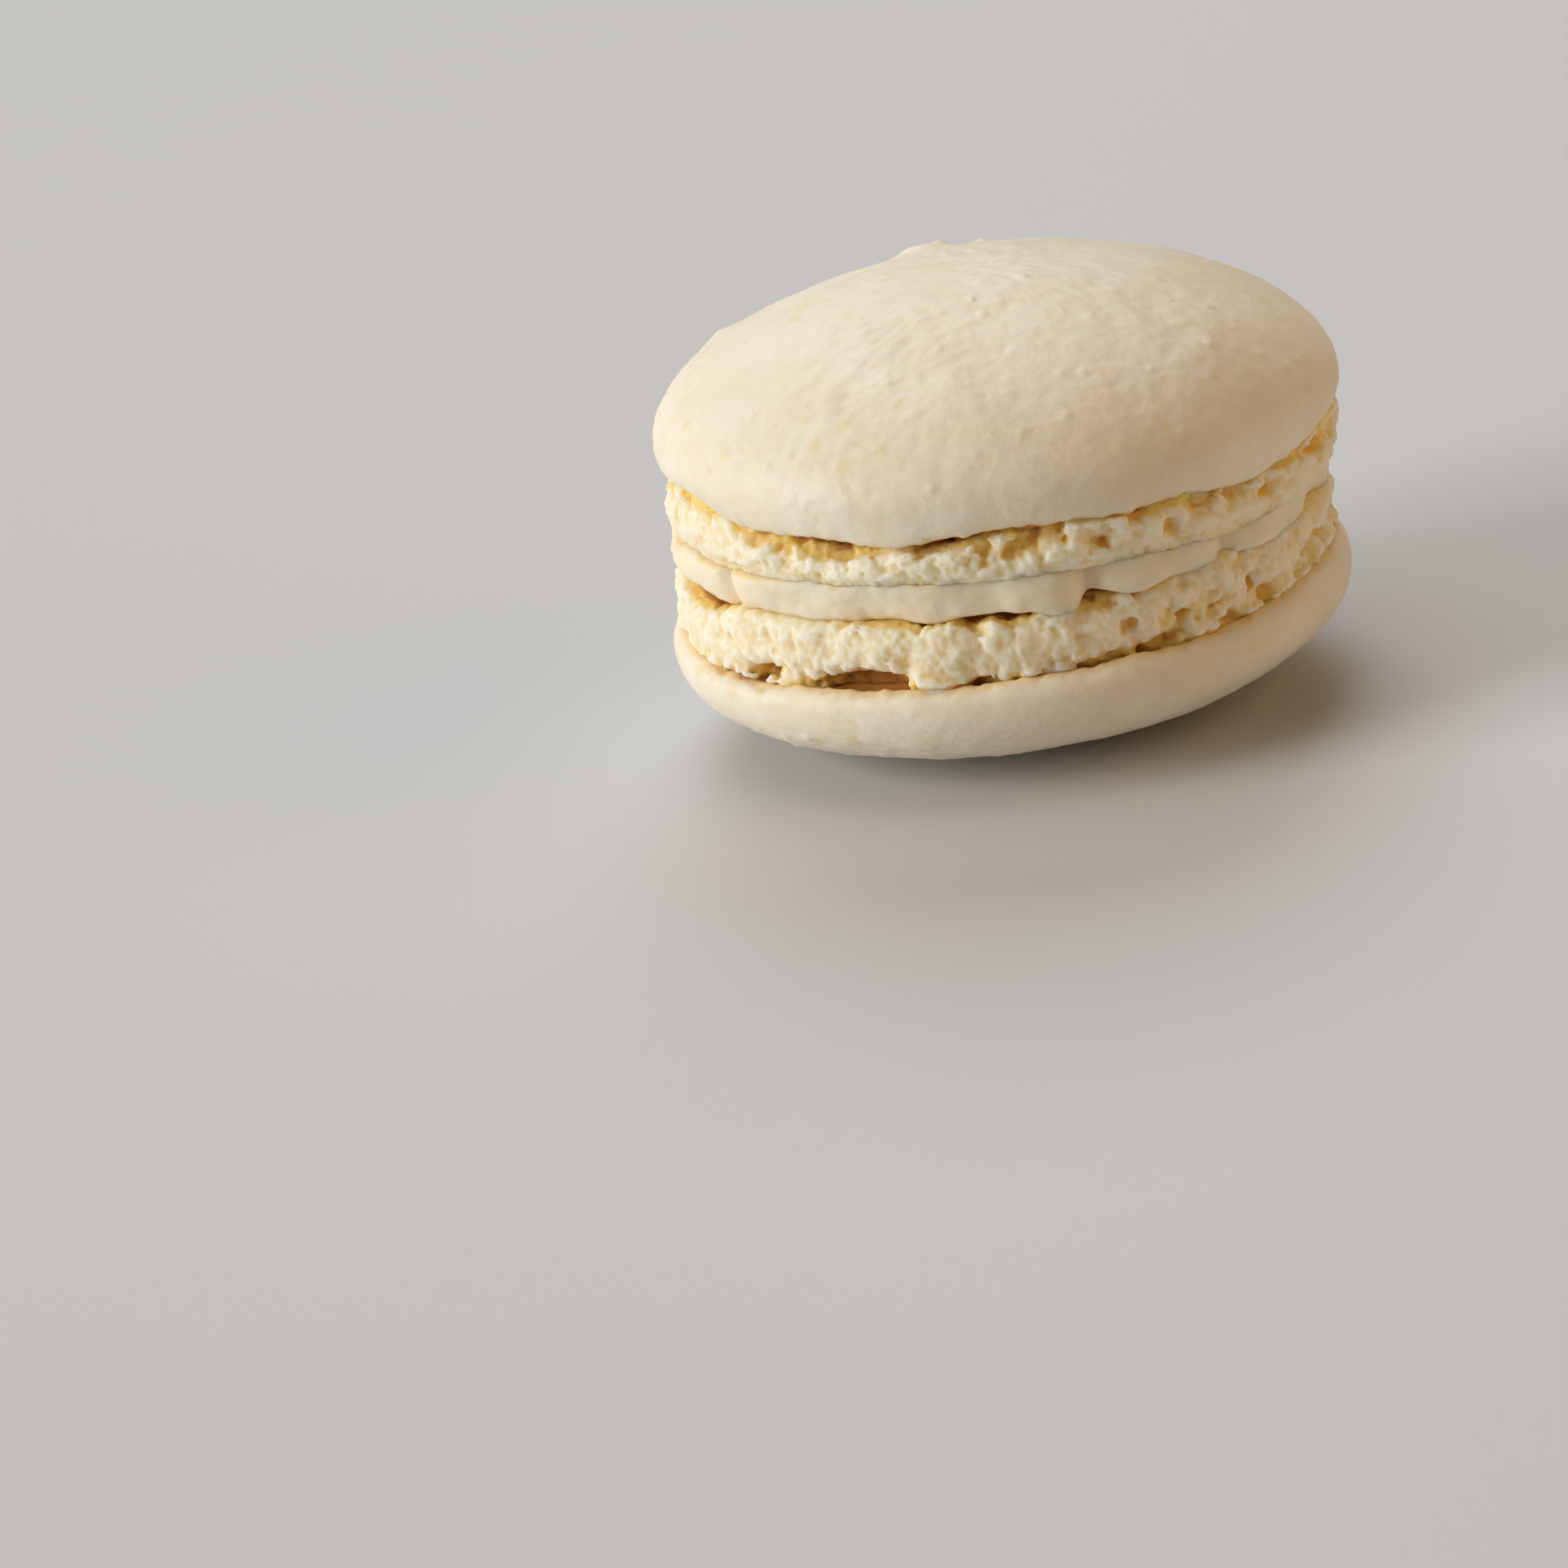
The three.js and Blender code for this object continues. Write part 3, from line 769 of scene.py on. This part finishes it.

# %% [markdown]
# ## The cream
#
# Buttercream piped from a round nozzle and pressed between the shells squeezes out to a smooth,
# slightly bulging band. Where the piped rope met itself or folded, a crease runs down the band and
# the cream beside it swells. Its lower edge wavers, draws back in places and bares the lower foot's
# shelf, and on the left it hangs free of the lower shell. Its upper edge follows the sagging
# underside of the upper foot. The band could be sculpted, but a turned disc that a few lists of
# soft waves then move says the same, and every fold stays easy to change. An attribute that is 0 at
# the middle of the band and 1 at both edges is stored for the finish, which paints amber shade
# along both edges.

# %% Cream sizes, in millimetres
# Lists of triples are the (angle, wide, reach) waves of `rise`, and pairs are (pitch, reach).
CREAM_RADIUS = 23.75
CREAM_LIP = 0.6         # how far the lower edge lies behind the bulge
CREAM_TOP_LIP = 0.2     # and the upper edge
CREAM_BULGE = 0.85
CREAM_RINGS = (19, 21)  # rings on the flat faces of the disc
CREAM_OVERLAP = (0.3, 0.2)
CREAM_EDGE = (20, 22.5)
CREAM_FOLDS = [
    (197, 9, 0.4), (213, 1.7, -1.0), (222, 6, 0.1), (264, 5, -0.3), (277, 5, 0.3),
    (283.5, 2.2, -1.1), (293, 5, 0.5), (303, 5, 0.4), (310, 1.5, -0.6), (319, 6, 0.6),
    (332, 5, 0.3), (2, 2.2, -0.7), (16, 9, 0.35), (48, 2, -0.8), (60, 8, 0.35),
    (97, 2.2, -0.6), (113, 10, 0.4), (141, 2, -0.9), (153, 7, 0.3),
]
CREAM_TUCK = [(222, 13, 0.8), (246, 13, 1.0), (340, 10, 0.9)]
CREAM_TUCK_CURVE = 1.4
CREAM_FLAP = [
    (188, 12, 1.4), (284, 2.5, 0.6), (266, 6, 0.25), (301, 7, 0.25), (314, 5, 0.2),
    (25, 8, 0.4), (74, 7, -0.3), (118, 9, 0.5), (158, 6, -0.3),
]
CREAM_DROOP = [(279, 4, -0.5)]
CREAM_WAVES = [(6, 0.35), (2.4, 0.16), (1.1, 0.12), (0.6, 0.06)]
CREAM_HEM = [(3.2, 0.4), (1.1, 0.14)]
CREAM_TOP_HEM = [(2.6, 0.35), (0.9, 0.22)]
TOP_HEM_SLICE = 9       # the upper hem reads its noise this far from the lower one's
TONGUE = [(194, 11, 1.1)]
WAVE_SEED, HEM_SEED = 21, 31
print("folds and creases in the cream:", len(CREAM_FOLDS))


# %% The band's section
def cream_section(low, high, rings=30):
    """(radius, height) round the disc, from the axis below to the axis above."""
    half = (high - low) / 2
    points = [(radius, low) for radius in (0, *CREAM_RINGS)]
    for i in range(1, rings):
        t = math.pi * (i / rings - 0.5)
        lip = CREAM_LIP if t < 0 else CREAM_TOP_LIP
        radius = CREAM_RADIUS - lip * (1 - math.cos(t) ** CREAM_BULGE)
        points.append((radius, low + half * (1 + math.sin(t))))
    return points + [(radius, high) for radius in (*reversed(CREAM_RINGS), 0)]


# %% Waves, folds and hems
def make_cream(name, place, steps=480):
    """The disc of cream, with its folds and hems and its `joint_shade` attribute."""
    low = -CREAM_OVERLAP[0]
    high = upper_parting - lower_parting + CREAM_OVERLAP[1]
    bm = spun(cream_section(low, high), steps)
    joint_shade = bm.verts.layers.float.new("joint_shade")
    for v in bm.verts:
        x, y, z = v.co
        radius = math.hypot(x, y)
        if radius < 1:
            continue
        angle = math.degrees(math.atan2(y, x))
        share = min(max((z - low) / (high - low), 0), 1)
        v[joint_shade] = abs(share * 2 - 1)
        edge = smoothstep(radius, *CREAM_EDGE)
        hem = octaves(Vector((x, y, 0)), CREAM_HEM, HEM_SEED)
        bottom = rise(CREAM_FLAP, angle) + rise(CREAM_DROOP, angle) + hem
        top = rise(UPPER_FOOT["sag"], angle) + UPPER_FOOT["hang"]
        top += octaves(Vector((x, y, TOP_HEM_SLICE)), CREAM_TOP_HEM, HEM_SEED)
        lean = x * math.tan(UPPER_LEAN) * share
        v.co.z += edge * (bottom * (1 - share) + top * share) - lean
        tuck = rise(CREAM_TUCK, angle) * (1 - share) ** CREAM_TUCK_CURVE
        rounded = rise(TONGUE, angle) * (1 - math.sqrt(4 * share * (1 - share)))
        out = octaves(v.co, CREAM_WAVES, WAVE_SEED) + rise(CREAM_FOLDS, angle) - tuck - rounded
        v.co.xy *= 1 + edge * out / radius
    return piece_from(bm, name, place)


cream = make_cream("cream", PLACE_CREAM)

# %% [markdown]
# ## Finishes
#
# Meringue and buttercream let light in a little way, so all three finishes have light under their
# surface. The colours could be painted on the meshes. Node formulas and the stored attributes do it
# here, because they stay sharp at any distance and follow the relief by themselves. A Mix node
# lays each tint over what is there, by a mask that a formula gives.

# %% Helpers for materials
SCATTER_SCALE = 0.0012
FOOD_IOR = 1.4


def new_material(name):
    """An empty material and its graph."""
    material = bpy.data.materials.new(name)
    material.use_nodes = True
    return material, Graph(material.node_tree)


def finish(g, colour, normal, light):
    """Joins a colour and a normal to a shader with light under its surface."""
    values = {
        "Base Color": colour, "Normal": normal, "Roughness": light["roughness"], "IOR": FOOD_IOR,
        "Subsurface Weight": light["weight"], "Subsurface Radius": light["radius"],
        "Subsurface Scale": SCATTER_SCALE,
    }
    shader = g.node("ShaderNodeBsdfPrincipled", {"subsurface_method": "RANDOM_WALK"}, values)
    g.node("ShaderNodeOutputMaterial", {}, {"Surface": shader})


def blended(g, factor, first, second):
    """One colour laid over another by a factor."""
    values = {"Factor": factor, 6: first, 7: second}
    return g.node("ShaderNodeMix", {"data_type": "RGBA"}, values, 2)


def in_millimetres(g):
    """Object coordinates, in millimetres."""
    return g.node("ShaderNodeTexCoord", {}, {}, "Object") / MM


def stored(g, name):
    """A number that was stored on the mesh's vertices."""
    return g.node("ShaderNodeAttribute", {"attribute_name": name}, {}, "Fac")


def bumped(g, height, distance, strength):
    """The normal, bent by a height; the distance is in metres."""
    values = {"Height": height, "Distance": distance, "Strength": strength}
    return g.node("ShaderNodeBump", {}, values, "Normal")


# %% [markdown]
# The skin is a pale ivory in slow clouds, with a fine straw-coloured mottling and soft yellow
# specks of almond under it. Its torn lower edge gets a painted amber shade, and its hidden inside a
# painted dark brown shade.

# %% The skin's material
SKIN_COLOURS = {
    "ivory": (0.87, 0.785, 0.61, 1),
    "pale": (0.905, 0.84, 0.69, 1),
    "mottle": (0.85, 0.73, 0.48, 1),
    "almond": (0.85, 0.70, 0.35, 1),
    # painted shade: amber on the lip's lowest band, dark brown on the skin's hidden inside
    "edge": (0.90, 0.66, 0.30, 1),
    "inside": (0.50, 0.24, 0.05, 1),
}
SKIN_LIGHT = {"roughness": 0.55, "radius": (1.0, 0.6, 0.35), "weight": 0.35}
MOTTLE_STRENGTH = 0.25
SPECKS = [(2.2, 0.4, 0.5), (1.2, 0.35, 0.45)]  # pitch, share of the cells, strength
SPECK_SIZE = {"least": 0.08, "more": 0.22, "soft": (-0.08, 0.10)}
SPECK_BEND = {"pitch": 0.9, "reach": 0.7}
LIP_SHADE_STRENGTH = 0.75


def skin_material():
    """Ivory clouds, mottling, almond specks, and painted shade on the lip and the inside."""
    material, g = new_material("macaron_skin")
    point = in_millimetres(g)
    clouds = g.ramp(g.lumps(point, 6.0, detail=2.0, seed=3.0), 0.3, 0.7)
    colour = blended(g, clouds, SKIN_COLOURS["ivory"], SKIN_COLOURS["pale"])
    mottle = g.ramp(g.lumps(point, 0.8, detail=3.0, seed=12.0), 0.42, 0.68)
    colour = blended(g, mottle * MOTTLE_STRENGTH, colour, SKIN_COLOURS["mottle"])
    bend = g.lumps(point, SPECK_BEND["pitch"], 1.0, 6.0, "Color") - 0.5
    bent = point + bend * SPECK_BEND["reach"]
    for pitch, share, strength in SPECKS:
        distance, chance, size, _ = g.cells(bent, pitch, 4.0 * pitch)
        reach = size * SPECK_SIZE["more"] + SPECK_SIZE["least"]
        speck = g.ramp(reach - distance, *SPECK_SIZE["soft"]) * g.ramp(chance, share, share - 0.1)
        colour = blended(g, speck * strength, colour, SKIN_COLOURS["almond"])
    # Painted shade: amber on the lip's lowest band, dark brown on the skin's inside.
    lip = stored(g, "lip")
    edge = g.math("MINIMUM", lip, 1.0) * LIP_SHADE_STRENGTH
    colour = blended(g, edge, colour, SKIN_COLOURS["edge"])
    colour = blended(g, g.ramp(lip, 1.0, 2.0), colour, SKIN_COLOURS["inside"])
    pores = bumped(g, g.lumps(point, 0.4, detail=2.0, seed=1.0), distance=0.00004, strength=0.9)
    finish(g, colour, pores, SKIN_LIGHT)
    return material


skin = skin_material()
print("colours in the skin:", len(SKIN_COLOURS))

# %% [markdown]
# The crumb gets a painted highlight on its tips and painted warm shade between them. In a hollow
# the light bounces from wall to wall and each bounce takes some blue away. That is painted in, as
# `pit` turns the crumb to amber shade and then to brown shade.

# %% The crumb's material
# The face colour is the crumb's own. The tip is a painted highlight, and the others are painted
# shade.
CRUMB_COLOURS = {
    "face": (0.94, 0.797, 0.55, 1),
    "tip": (0.96, 0.85, 0.665, 1),
    "crevice_shade": (0.95, 0.71, 0.33, 1),
    "hollow": (1.0, 0.68, 0.21, 1),
    "deepest": (0.45, 0.19, 0.03, 1),
}
CRUMB_LIGHT = {"roughness": 0.7, "radius": (1.7, 1.4, 0.8), "weight": 0.85}
HOLLOW_SHADE_DEPTHS = (0.3, 1.2)
DEEPEST_SHADE_DEPTHS = (1.5, 2.4)
NOOK_DEPTH = 0.10
NOOK_START = -0.01
CREVICE_SHADE_STRENGTH = 0.5


def crumb_material():
    """Painted highlight on the tips, painted shade in crevices, amber and brown painted shade in
    hollows.
    """
    material, g = new_material("macaron_crumb")
    point = in_millimetres(g)
    pit, nook = stored(g, "pit"), stored(g, "nook")
    grain = g.lumps(point, 0.5, detail=2.0, seed=2.0) - 0.5
    # Painted shade by depth: amber in a hollow, brown in the deepest ones.
    deep = g.ramp(pit + grain * 0.3, *HOLLOW_SHADE_DEPTHS)
    deepest = g.ramp(pit, *DEEPEST_SHADE_DEPTHS)
    # Painted shade in crevices and a painted highlight on tips.
    crevice_shade = g.ramp(nook + grain * 0.03, NOOK_START, NOOK_DEPTH)
    tip = g.ramp(nook + grain * 0.03, NOOK_START, -NOOK_DEPTH)
    colour = blended(g, tip, CRUMB_COLOURS["face"], CRUMB_COLOURS["tip"])
    colour = blended(g, crevice_shade * CREVICE_SHADE_STRENGTH, colour, CRUMB_COLOURS["crevice_shade"])
    colour = blended(g, deep, colour, CRUMB_COLOURS["hollow"])
    colour = blended(g, deepest, colour, CRUMB_COLOURS["deepest"])
    pores = bumped(g, g.lumps(point, 0.22, detail=1.0, seed=5.0), distance=0.00005, strength=0.8)
    finish(g, colour, pores, CRUMB_LIGHT)
    return material


crumb = crumb_material()
print("colours in the crumb:", len(CRUMB_COLOURS))

# %% [markdown]
# The cream is a plain pale yellow in slow lumps. Both of its edges, where it meets the crumb, get a
# painted amber shade.

# %% The cream's material
CREAM_COLOURS = {
    "warm": (0.89, 0.77, 0.555, 1),
    "pale": (0.94, 0.83, 0.64, 1),
    # painted amber shade along both edges, where the cream meets the crumb
    "joint_shade": (0.90, 0.67, 0.34, 1),
}
CREAM_LIGHT = {"roughness": 0.55, "radius": (1.6, 1.2, 0.7), "weight": 0.7}
JOINT_SHADE_BAND = (0.80, 1.0)
JOINT_SHADE_STRENGTH = 0.7


def cream_material():
    """Pale yellow, with painted amber shade beside the crumb."""
    material, g = new_material("buttercream")
    point = in_millimetres(g)
    lumps = g.lumps(point, 3.0, detail=1.0, seed=8.0)
    colour = blended(g, lumps, CREAM_COLOURS["warm"], CREAM_COLOURS["pale"])
    # Painted amber shade along both edges of the band.
    joint_shade = g.ramp(stored(g, "joint_shade"), *JOINT_SHADE_BAND) * JOINT_SHADE_STRENGTH
    colour = blended(g, joint_shade, colour, CREAM_COLOURS["joint_shade"])
    dimples = bumped(g, g.lumps(point, 0.5, detail=2.0, seed=6.0), distance=0.00006, strength=0.7)
    finish(g, colour, dimples, CREAM_LIGHT)
    return material


buttercream = cream_material()
for piece, material in (
    (skin_upper, skin), (skin_lower, skin), (foot_upper, crumb), (foot_lower, crumb),
    (cream, buttercream),
):
    piece.data.materials.append(material)
    print(piece.name, "wears", material.name)

# %% [markdown]
# ## Floor and light
#
# A large window light stands low on the left and does most of the work. A wide soft one hangs from
# the ceiling, and a faintly blue one behind draws the back edge of the crown. The room's warm light
# fills the shadows from the front right. Sun lamps and spots would give hard shadows, so all four
# are area lights. The floor is a plain pale sheet that fills the view.

# %% Floor
FLOOR_HALF = 3          # metres
FLOOR_COLOURS = (0.605, 0.61, 0.62, 1), (0.625, 0.63, 0.64, 1)

floor_bm = bmesh.new()
bmesh.ops.create_grid(floor_bm, x_segments=1, y_segments=1, size=FLOOR_HALF)
floor_mesh = bpy.data.meshes.new("floor")
floor_bm.to_mesh(floor_mesh)
floor_bm.free()
floor = bpy.data.objects.new("floor", floor_mesh)
bpy.context.scene.collection.objects.link(floor)
floor_material, g = new_material("pale_floor")
shade = g.lumps(g.node("ShaderNodeTexCoord", {}, {}, "Object"), 0.3, 1.0, 1.0)
floor_values = {"Base Color": blended(g, shade, *FLOOR_COLOURS), "Roughness": 0.6}
floor_shader = g.node("ShaderNodeBsdfPrincipled", {}, floor_values)
g.node("ShaderNodeOutputMaterial", {}, {"Surface": floor_shader})
floor_mesh.materials.append(floor_material)
print("floor:", 2 * FLOOR_HALF, "m across")

# %% Lights
# Name, azimuth and elevation in degrees, distance and size in metres, power in watts and colour.
# The azimuth is counted round from the front to the left.
LIGHTS = [
    ("window", 76, 20, 2.7, 1.5, 60.0, (1.0, 0.985, 0.99)),
    ("ceiling", 103, 75, 2.7, 2.0, 18.0, (1.0, 0.96, 0.90)),
    ("behind", 180, 40, 2.7, 1.8, 29.0, (0.92, 0.97, 1.0)),
    ("room", -72, 22, 2.4, 2.2, 18.3, (1.0, 0.65, 0.34)),
]


def area_light(name, azimuth, elevation, distance, size, power, colour):
    """A square light aimed at the macaron."""
    data = bpy.data.lights.new(name, "AREA")
    data.size = size
    data.energy = power
    data.color = colour
    light = bpy.data.objects.new(name, data)
    a, e = math.radians(azimuth), math.radians(elevation)
    away = Vector((-math.sin(a) * math.cos(e), -math.cos(a) * math.cos(e), math.sin(e)))
    light.location = TARGET + away * distance
    light.rotation_mode = "QUATERNION"
    light.rotation_quaternion = away.to_track_quat("Z", "Y")
    bpy.context.scene.collection.objects.link(light)
    print(f"{name}: {power} W, {distance} m away")


for settings in LIGHTS:
    area_light(*settings)

# %% The room's own light, and plain colours
WORLD_COLOUR = (1.0, 0.80, 0.60, 1)
WORLD_STRENGTH = 0.06

world = bpy.data.worlds.new("room_light")
world.use_nodes = True
background = world.node_tree.nodes["Background"]
background.inputs["Color"].default_value = WORLD_COLOUR
background.inputs["Strength"].default_value = WORLD_STRENGTH
bpy.context.scene.world = world
bpy.context.scene.view_settings.view_transform = "Standard"
print("world strength:", WORLD_STRENGTH)

# %% [markdown]
# ## One body
#
# A macaron has no moving parts, so every piece rides on the one body. A shell's skin and foot
# replace the one solid shell between them, which is hidden.

# %% Ride and replace
for piece, node, slot in (
    (skin_upper, "shell_upper", "shell"),
    (foot_upper, "shell_upper", "shell"),
    (skin_lower, "shell_lower", "shell"),
    (foot_lower, "shell_lower", "shell"),
    (cream, "filling", "cream"),
):
    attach(piece, "root")
    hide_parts(node)
